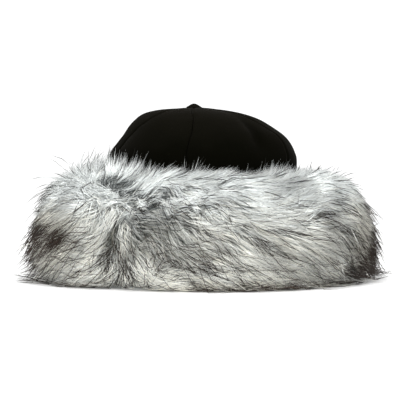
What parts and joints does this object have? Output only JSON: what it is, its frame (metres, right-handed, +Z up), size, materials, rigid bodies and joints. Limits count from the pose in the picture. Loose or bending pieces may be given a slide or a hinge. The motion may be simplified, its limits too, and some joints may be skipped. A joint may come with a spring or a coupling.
{
  "type": "fur cuff hat",
  "caption": "Low round winter hat with a black panelled cloth crown, a covered button on top, a cloth head band and a deep grey fur cuff round it.",
  "frame": {"origin": "under the middle of the hat's box, on the surface that it rests on", "axes": "+Z up out of the crown, -Y towards the front, +X to the right seen from the front"},
  "size_m": [0.3534, 0.3654, 0.1754],
  "materials": {
    "crown_cloth": "black napped suede cloth, matt with a faint warm sheen",
    "band_cloth": "black cotton twill, matt",
    "fur": "long-haired grey-white fur with dark brown tips"
  },
  "bodies": {
    "root": {"head_band": "band_cloth", "crown_panel_1": "crown_cloth", "crown_panel_2": "crown_cloth", "crown_panel_3": "crown_cloth", "crown_panel_4": "crown_cloth", "crown_panel_5": "crown_cloth", "crown_panel_6": "crown_cloth", "crown_button": "crown_cloth", "fur_cuff": "fur"}
  },
  "joints": []
}
